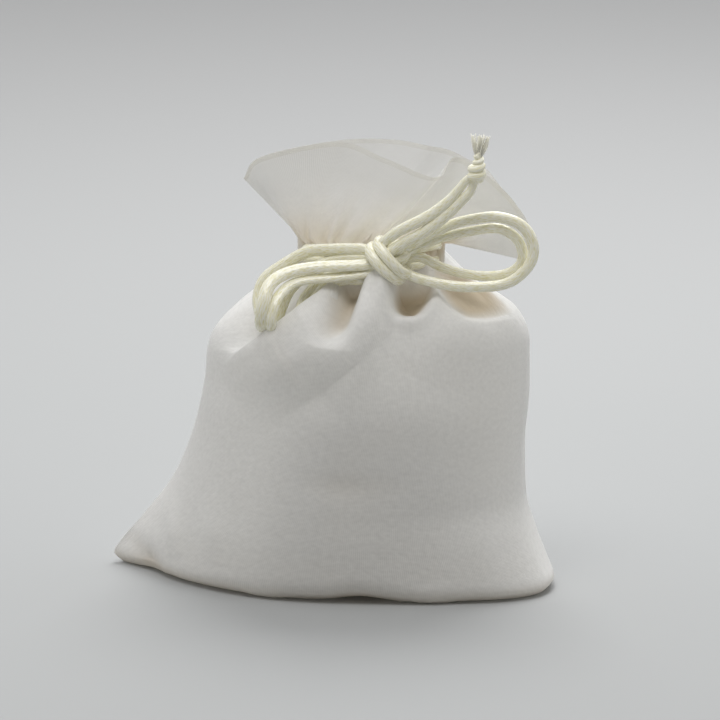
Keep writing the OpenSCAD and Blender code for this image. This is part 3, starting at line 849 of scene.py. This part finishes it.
def folded_body(side, z):
    """The body with its folds, how far out each point is folded, and how much painted shade it gets: more the
    deeper in a hollow it is, and some near the ground.
    """
    x, z = across(z[:, None]), np.broadcast_to(z[:, None], (len(z), COLUMNS + 1))
    slip_x, slip_z, forward, shade_amount = [np.zeros(x.shape) for _ in range(4)]
    for line, strengths, shade_per_mm, section in OVERHANGS[side]:
        aims = np.arctan2(*np.gradient(np.array(line), axis=0).T)
        above, (strength, aim) = beside(x, z, line, strengths, aims)
        start, to, forwards = np.array(section, float).T
        held = np.clip(above, start[0], start[-1])
        goes, comes = monotone(start, to, held), monotone(start, forwards, held)
        inside = (above > start[0]) & (above < start[-1])
        move = np.where(inside, (goes - above) * strength * FADE, 0)
        slip_x -= move * np.cos(aim)
        slip_z += move * np.sin(aim)
        comes = np.where(inside, comes * strength * FADE, 0)
        forward += comes
        # painted shade in the hollow behind an overhang
        shade_amount += shade_per_mm * np.maximum(-comes, 0)
    out = fold_out(x, z, side) * FADE
    out += 1.5 * ease((z - 64) / 10) * gathers(T, 3 - side) * FADE
    # in the channel the gathers are shallow: the drawcords lie behind them and hold them in
    slack = 9 * (1 - ease((z - CHANNEL_TOP + CHANNEL_H + 5) / 5))
    out = np.clip(out, -0.45 - slack, 1.5 + slack)
    plain = plain_points(side, x, z)
    out += 0.22 * noise(plain, 26, 5) * FADE * ease(z / 8)
    moved = plain_points(side, x + slip_x, np.clip(z + slip_z, 0, CHANNEL_TOP))
    body = moved + normals_of(plain, side) * out[..., None]
    body[..., 1] += side * forward
    # painted shade: more in hollows, and a warm shade on the cloth near the ground
    shade_amount += np.maximum(-out, 0) / 5.5 + 0.4 * (1 - ease(z / 4))
    return body, out, shade_amount


def panel_grid(side):
    """The points of one panel, from its bottom seam to its mouth, how much painted shade each one gets, more
    the deeper in a fold it is, and how free the cloth is there."""
    foot = across(np.zeros(1))
    seam = np.stack([0.97 * foot, ear_turn(foot, 0), np.zeros(COLUMNS + 1)], axis=-1)
    z = np.concatenate([np.linspace(0, 6, 12)[:-1], np.linspace(6, 50, 50)[:-1],
                        np.linspace(50, CHANNEL_TOP, 120)])
    body, out, shade_amount = folded_body(side, z)
    under = seam + (body[0] - seam) * np.linspace(0, 1, BASE_ROWS + 1)[:-1, None, None]

    edge = np.array([NECK_X, 0, NECK_Z]) + spline(EDGES[side], T)
    k = np.linspace(0, 1, FRILL_ROWS + 1)[1:, None, None]
    top = plain_points(side, across(z[-1:]), z[-1:])
    frill = top + (edge - top) * k
    lift = unit(edge - top)
    rise = k[..., 0]
    frill_out = out[-1] * (1 - ease(rise * 1.5)) ** 1.5
    wave = np.sin(2 * math.pi * (3.2 * T + 0.15 * side)) + 0.6 * np.sin(2 * math.pi * (5.3 * T + 0.4))
    radial = np.sin(2 * math.pi * (9.5 * T + 0.3)) * np.sin(math.pi * rise**0.7) * 0.35
    frill_out = frill_out + (1.1 * wave * rise**1.3 + radial + 0.15 * noise(frill, 14, 9)) * FADE
    frill_normal = unit(np.cross(np.gradient(frill, axis=1), np.broadcast_to(lift, frill.shape)) * -side)
    blend = ease(rise * 4)[..., None]
    frill_normal = unit(normals_of(body, side)[-1] * (1 - blend) + frill_normal * blend)
    frill = frill + frill_normal * frill_out[..., None]
    grid = np.vstack([under, body, frill])
    # painted shade where the frill leaves the neck
    root = 0.42  # the frill is many folds deep where it leaves the neck
    shade_amount = shade_amount + root * ease((z[:, None] - z[-1] + 6) / 6)
    # painted shade: a fixed warm shade on the cloth under the pouch, and on the frill a shade that fades
    # upward
    depth = np.vstack([np.full(under.shape[:2], 0.4), shade_amount,
                       (shade_amount[-1] - root) * (1 - ease(rise * 3)) + root * (1 - ease(rise * 1.7))])
    # the frill is free cloth: more sheer, and painted a little darker as painted shade
    loose = np.zeros(depth.shape)
    loose[-FRILL_ROWS:] = ease(rise * 1.3)
    grid[..., 2] = np.maximum(grid[..., 2], 0) + LIFT
    return grid, depth, loose


def cloth_uvs(grid):
    """Coordinates over the cloth in millimetres: across the cut width, and along the middle column."""
    along = run_of(grid[:, COLUMNS // 2])
    return np.stack(np.broadcast_arrays(T[None, :] * CUT_W, along[:, None]), axis=-1)


GRIDS, UVS = {}, {}


def add_panel(name, side):
    grid, depth, loose = panel_grid(side)
    GRIDS[side], UVS[side] = grid, cloth_uvs(grid)
    piece = mesh_object(name + "_cloth", sheet_shape(grid, UVS[side], side), VOILE,
                        Depth=np.clip(depth, 0, 1), Loose=loose)
    return placed(piece, "pouch", name)


panels = {-1: add_panel("front_panel", -1), 1: add_panel("back_panel", 1)}

# -------- wadding

# The wadding's rows: height as a part of NECK_Z, reach to the left and right as parts of HALF_W, and reach
# forward and back as a part of HALF_D.
FILLING = [
    [0.025, 0.52, 0.66, 0.72], [0.09, 0.58, 0.72, 0.88], [0.27, 0.58, 0.70, 0.90],
    [0.42, 0.50, 0.71, 0.90], [0.58, 0.44, 0.73, 0.87], [0.73, 0.40, 0.73, 0.785],
    [0.82, 0.29, 0.68, 0.64], [0.89, 0.16, 0.56, 0.48], [0.925, 0.10, 0.47, 0.36],
]


def add_wadding():
    """A lumpy closed body of fibres, a little smaller than the space inside the cloth."""
    rows = np.array(FILLING)
    z = np.linspace(rows[0, 0], rows[-1, 0], 60)
    angle = np.linspace(0, 2 * math.pi, 120, endpoint=False)
    left, right, reach = [monotone(rows[:, 0], rows[:, k], z)[:, None] for k in (1, 2, 3)]
    x = (right - left) / 2 * HALF_W + (right + left) / 2 * HALF_W * np.cos(angle)
    y = reach * HALF_D * np.sin(angle)
    grid = np.stack([x, y, np.broadcast_to(z[:, None] * NECK_Z, x.shape)], axis=-1)
    centre = grid.mean(axis=1, keepdims=True)
    grid = centre + (grid - centre) * (0.985 + 0.012 * noise(grid, 11, 21)[..., None])
    for side in (-1, 1):
        x, z = grid[..., 0], grid[..., 2]
        dent = np.maximum(-fold_out(x, z, side), 0)
        for line, strengths, *_ in OVERHANGS[side]:
            above, (strength,) = beside(x, z, line, strengths)
            dent += 4.0 * strength * ease((10 - np.abs(above)) / 6)
        dent = np.where(side * grid[..., 1] > 0, np.minimum(dent, 0.8 * np.abs(grid[..., 1])), 0)
        grid = grid - dent[..., None] * unit(np.stack([0 * x, side + 0 * x, ease((z - 56) / 14)], axis=-1))
    points = np.vstack([grid.reshape(-1, 3), grid[0].mean(axis=0), grid[-1].mean(axis=0)])
    # how tightly the fibres are packed: least at the sides and the top, and less towards the ground
    spread = np.abs((points[:, 0] - 12) / (25 - 0.10 * points[:, 2])) ** 2.6
    packed = 1 - ease(((spread + (np.maximum(points[:, 2] - 14, 0) / 36) ** 2.6) ** (1 / 2.6) - 0.70) / 0.5)
    packed *= 0.5 + 0.5 * ease(points[:, 2] / 16)
    shape = points, closed_faces(*grid.shape[:2]), None
    piece = mesh_object("wadding_fill", shape, WADDING, Packed=packed)
    placed(piece, "pouch", "filling")


add_wadding()

# -------- hems, seams, channel and stitches


def moved_in(side, depth):
    """A panel's points, moved inward by a depth."""
    return GRIDS[side] - normals_of(GRIDS[side], side) * depth


def add_inner_cloth(node, shape):
    placed(mesh_object(node + "_cloth", shape, VOILE), "pouch", node)


def add_hem(name, side):
    """The mouth's folded edge: the last rows of the panel, doubled."""
    layers = [moved_in(side, depth)[-HEM_ROWS:] for depth in (-HEM_T / 2, HEM_T / 2)]
    uvs = UVS[side][-HEM_ROWS:]
    shape = sheet_shape(np.vstack([layers[0], layers[1][::-1]]), np.vstack([uvs, uvs[::-1]]), side)
    # the hem's Loose value makes it a little more sheer and paints it a little darker, as painted shade
    piece = mesh_object(name + "_cloth", shape, HEM, Loose=np.full(len(shape[0]), 0.2))
    return placed(piece, "pouch", name)


hems = {-1: add_hem("front_hem", -1), 1: add_hem("back_hem", 1)}


def body_rows(low, high):
    """The rows of a panel between two heights at the side seam."""
    heights = GRIDS[-1][:, 0, 2]
    rows = np.flatnonzero((heights >= low) & (heights <= high))
    rows = rows[(rows > BASE_ROWS) & (rows < len(heights) - FRILL_ROWS)]
    return slice(rows[0], rows[-1] + 1)


def add_seams():
    """The allowances that are turned in along the sides and the bottom."""
    up = body_rows(3, CHANNEL_LOW)
    for name, order in (("left_seam", 1), ("right_seam", -1)):
        parts = []
        for side in (-1, 1):
            grid, uvs = moved_in(side, SEAM_IN)[up, ::order], UVS[side][up, ::order]
            columns = int(np.searchsorted(run_of(grid[len(grid) // 2])[1:], SEAM_W)) + 1
            parts.append(sheet_shape(grid[:, 1:columns], uvs[:, 1:columns]))
        add_inner_cloth(name, joined(parts))
    part = slice(0, 5), slice(8, COLUMNS - 8)
    add_inner_cloth("bottom_seam", sheet_shape(moved_in(-1, SEAM_IN)[part], UVS[-1][part]))


def add_channel():
    """The inner walls that the drawcords run behind, inside the neck."""
    z = np.linspace(CHANNEL_LOW, CHANNEL_TOP, 9)[:, None]
    for name, side in (("front_channel", -1), ("back_channel", 1)):
        points = plain_points(side, across(z), z)
        points[..., 0] = NECK_X + (points[..., 0] - NECK_X) * (1 - CHANNEL_D / NECK_HALF_W)
        points[..., 1] *= 1 - CHANNEL_D / NECK_HALF_D
        points[..., 1] += side * 0.3 * gathers(T, 3 - side) * np.sin(math.pi * T)
        uvs = np.stack(np.broadcast_arrays(T * CUT_W, points[..., 2]), axis=-1)
        add_inner_cloth(name, sheet_shape(points, uvs, side))


def stitches(line, radius):
    """Stitches along a line of points: short rounded bars of thread."""
    run = run_of(line)
    made = []
    for start in np.arange(STITCH_PITCH / 2, run[-1] - STITCH_L, STITCH_PITCH):
        at = np.linspace(start, start + STITCH_L, 5)
        path = np.stack([np.interp(at, run, line[:, k]) for k in range(3)], axis=1)
        made.append(tube_mesh(path, radius, radius * 0.8, (0.3, 0.5, 0.8), 8))
    return made


def add_stitches():
    up = body_rows(2, CHANNEL_LOW)
    seams = moved_in(-1, SEAM_IN)
    neck = [body_rows(height - 0.3, height + 0.6).start for height in (CHANNEL_LOW, CHANNEL_TOP - 0.2)]
    lines = {
        "left_stitches": [seams[up, 3]],
        "right_stitches": [seams[up, -4]],
        "bottom_stitches": [GRIDS[-1][2] + [0, 0, 0.5]],
        "channel_stitches": [moved_in(side, -THREAD_T / 2)[row, 6:-6] for side in (-1, 1) for row in neck],
    }
    for name, runs in lines.items():
        shape = joined([bar for line in runs for bar in stitches(line, THREAD_T / 2)])
        placed(mesh_object(name + "_thread", shape, THREAD), "pouch", name)


add_seams()
add_channel()
add_stitches()

# -------- floor and light

FLOOR_HALF = 6.0  # metres, as all lengths of the floor and the light
# painted light: the floor is painted paler far behind the pouch
FLOOR_FAR = 0.15, 0.50  # where behind the pouch the floor starts and ends getting paler


def add_floor():
    """A plain pale floor that fills the picture, painted paler far behind the pouch as painted light."""
    corners = [(x * FLOOR_HALF, y * FLOOR_HALF, 0) for x, y in ((-1, -1), (1, -1), (1, 1), (-1, 1))]
    data = bpy.data.meshes.new("floor")
    data.from_pydata(corners, [], [(0, 1, 2, 3)])
    look = Look("floor")
    place = look.node("ShaderNodeTexCoord").outputs["Object"]
    grey = look.mix(look.noise(1.2, 2.0, place), (0.394, 0.403, 0.405, 1), (0.408, 0.415, 0.417, 1))
    # painted light: paler far behind the pouch
    far = look.remap(look.node("ShaderNodeSeparateXYZ", {0: place}).outputs[1], *FLOOR_FAR)
    grey = look.mix(far, grey, (0.425, 0.428, 0.431, 1))
    body = look.node("ShaderNodeBsdfPrincipled", {"Base Color": grey, "Roughness": 0.9})
    data.materials.append(look.finish(body))
    in_scene("floor", data)


LIGHT_BASE = 0.18
# The direction, the strength, and whether the light comes from both ends of the direction.
LIGHT_FROM = (
    ((-0.21, 0.98, 0.0), 0.28, False),
    ((0.98, 0.21, 0.0), 0.02, False),
    ((-0.98, -0.21, 0.0), 0.66, True),
    ((0.0, 0.0, 1.0), 0.12, False),
)
# The name, the size, the power in watts and the place.
LAMPS = (("overhead", 0.45, 2.9, (0.0, 0.34, 0.52)), ("fill", 0.3, 1.2, (0.0, -0.22, 0.58)))
COOL_FROM = (-0.20, 0.95, 0.24)  # the light is cooler from there, and warm from opposite
WARM_FRONT, COOL_BACK = (1.08, 1.0, 0.86, 1), (0.99, 1.0, 1.01, 1)
LAMPS_AIM = Vector((0.0, 0.0, 0.05))


def add_light():
    """Soft light all round, weakest from the camera's side and strongest from both flanks, and two lamps
    above."""
    look = Look("studio", "World")
    place = look.node("ShaderNodeTexCoord").outputs["Generated"]
    total = LIGHT_BASE
    for direction, weight, both in LIGHT_FROM:
        part = look.towards(direction, place)
        if both:
            part = look.math("ABSOLUTE", part)
        added = look.node("ShaderNodeMath", {0: part, 1: weight, 2: total}, operation="MULTIPLY_ADD")
        total = added.outputs[0]
    tint = look.mix(look.remap(look.towards(COOL_FROM, place), -0.8, 0.1), WARM_FRONT, COOL_BACK)
    background = look.node("ShaderNodeBackground", {"Color": tint, "Strength": total})
    bpy.context.scene.world = look.finish(background)
    for name, size, watts, place in LAMPS:
        lamp = bpy.data.lights.new(name, "AREA")
        lamp.shape, lamp.size, lamp.energy = "DISK", size, watts
        held = in_scene(name, lamp)
        held.location = place
        held.rotation_euler = (LAMPS_AIM - Vector(place)).to_track_quat("-Z", "Y").to_euler()
    bpy.context.scene.view_settings.view_transform = "Standard"


add_floor()
add_light()
